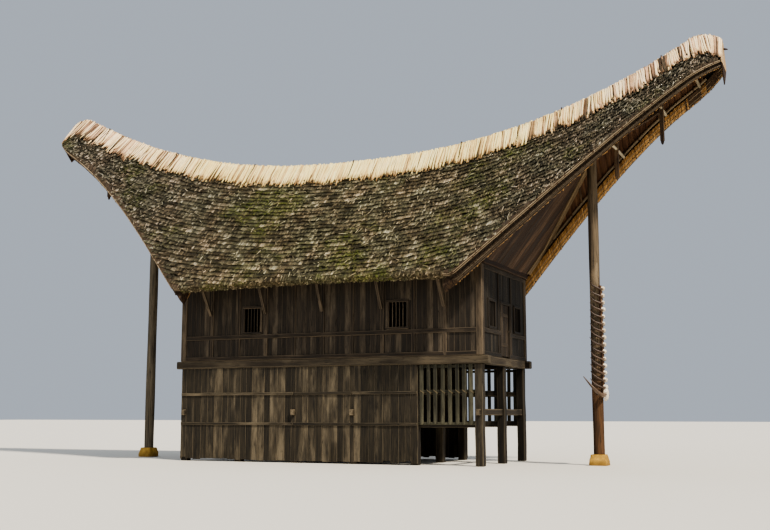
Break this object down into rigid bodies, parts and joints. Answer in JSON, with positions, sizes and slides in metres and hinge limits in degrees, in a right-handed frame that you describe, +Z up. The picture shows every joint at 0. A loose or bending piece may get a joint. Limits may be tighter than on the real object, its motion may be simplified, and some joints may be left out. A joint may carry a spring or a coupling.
{
  "type": "tongkonan_house",
  "caption": "Boat-roofed timber house on piles, with long upswept gable overhangs, a gable post at each end and trophy horns on the front post.",
  "frame": {"origin": "on the ground, at the middle of the plan", "axes": "+X across the house towards its right side, +Y along the ridge towards the rear, +Z up; the front with the horns faces -Y"},
  "size_m": [6.3932, 21.8606, 11.4828],
  "materials": {
    "dark_timber": "weathered dark brown timber, matte",
    "grey_timber": "weathered grey timber, matte",
    "red_timber": "stained red-brown timber, worn",
    "roof_bamboo": "old layered bamboo with moss, rough",
    "ridge_bamboo": "pale split bamboo slats, matte",
    "verge_bamboo": "stacked bamboo ends, tan, matte",
    "soffit_board": "brown boards, matte",
    "plinth_stone": "rendered masonry, orange tan, rough",
    "horn": "weathered buffalo horn, satin"
  },
  "bodies": {
    "root": {"left_roof_thatch": "roof_bamboo", "right_roof_thatch": "roof_bamboo", "left_soffit_boards": "soffit_board", "right_soffit_boards": "soffit_board", "ridge_cap": "ridge_bamboo", "ridge_beam": "dark_timber", "front_left_verge": "verge_bamboo", "front_right_verge": "verge_bamboo", "rear_left_verge": "verge_bamboo", "rear_right_verge": "verge_bamboo", "front_tip_board": "soffit_board", "rear_tip_board": "soffit_board", "front_gable_post": "red_timber", "rear_gable_post": "grey_timber", "front_post_plinth": "plinth_stone", "rear_post_plinth": "plinth_stone", "buffalo_horns": "horn", "front_overhang_frame": "dark_timber", "rear_overhang_frame": "dark_timber", "left_pile_row": "dark_timber", "middle_pile_row": "dark_timber", "right_pile_row": "dark_timber", "cross_tie_1": "grey_timber", "cross_tie_2": "grey_timber", "cross_tie_3": "grey_timber", "cross_tie_4": "grey_timber", "left_slat_screen": "grey_timber", "right_slat_screen": "grey_timber", "left_board_screen": "dark_timber", "right_board_screen": "dark_timber", "left_sill_beam": "grey_timber", "right_sill_beam": "grey_timber", "front_sill_beam": "grey_timber", "rear_sill_beam": "grey_timber", "floor_deck": "grey_timber", "left_wall": "dark_timber", "right_wall": "dark_timber", "front_wall": "dark_timber", "rear_wall": "dark_timber", "front_door": "grey_timber", "front_gable_wall": "dark_timber", "rear_gable_wall": "dark_timber", "left_eave_frame": "dark_timber", "right_eave_frame": "dark_timber"}
  },
  "joints": []
}
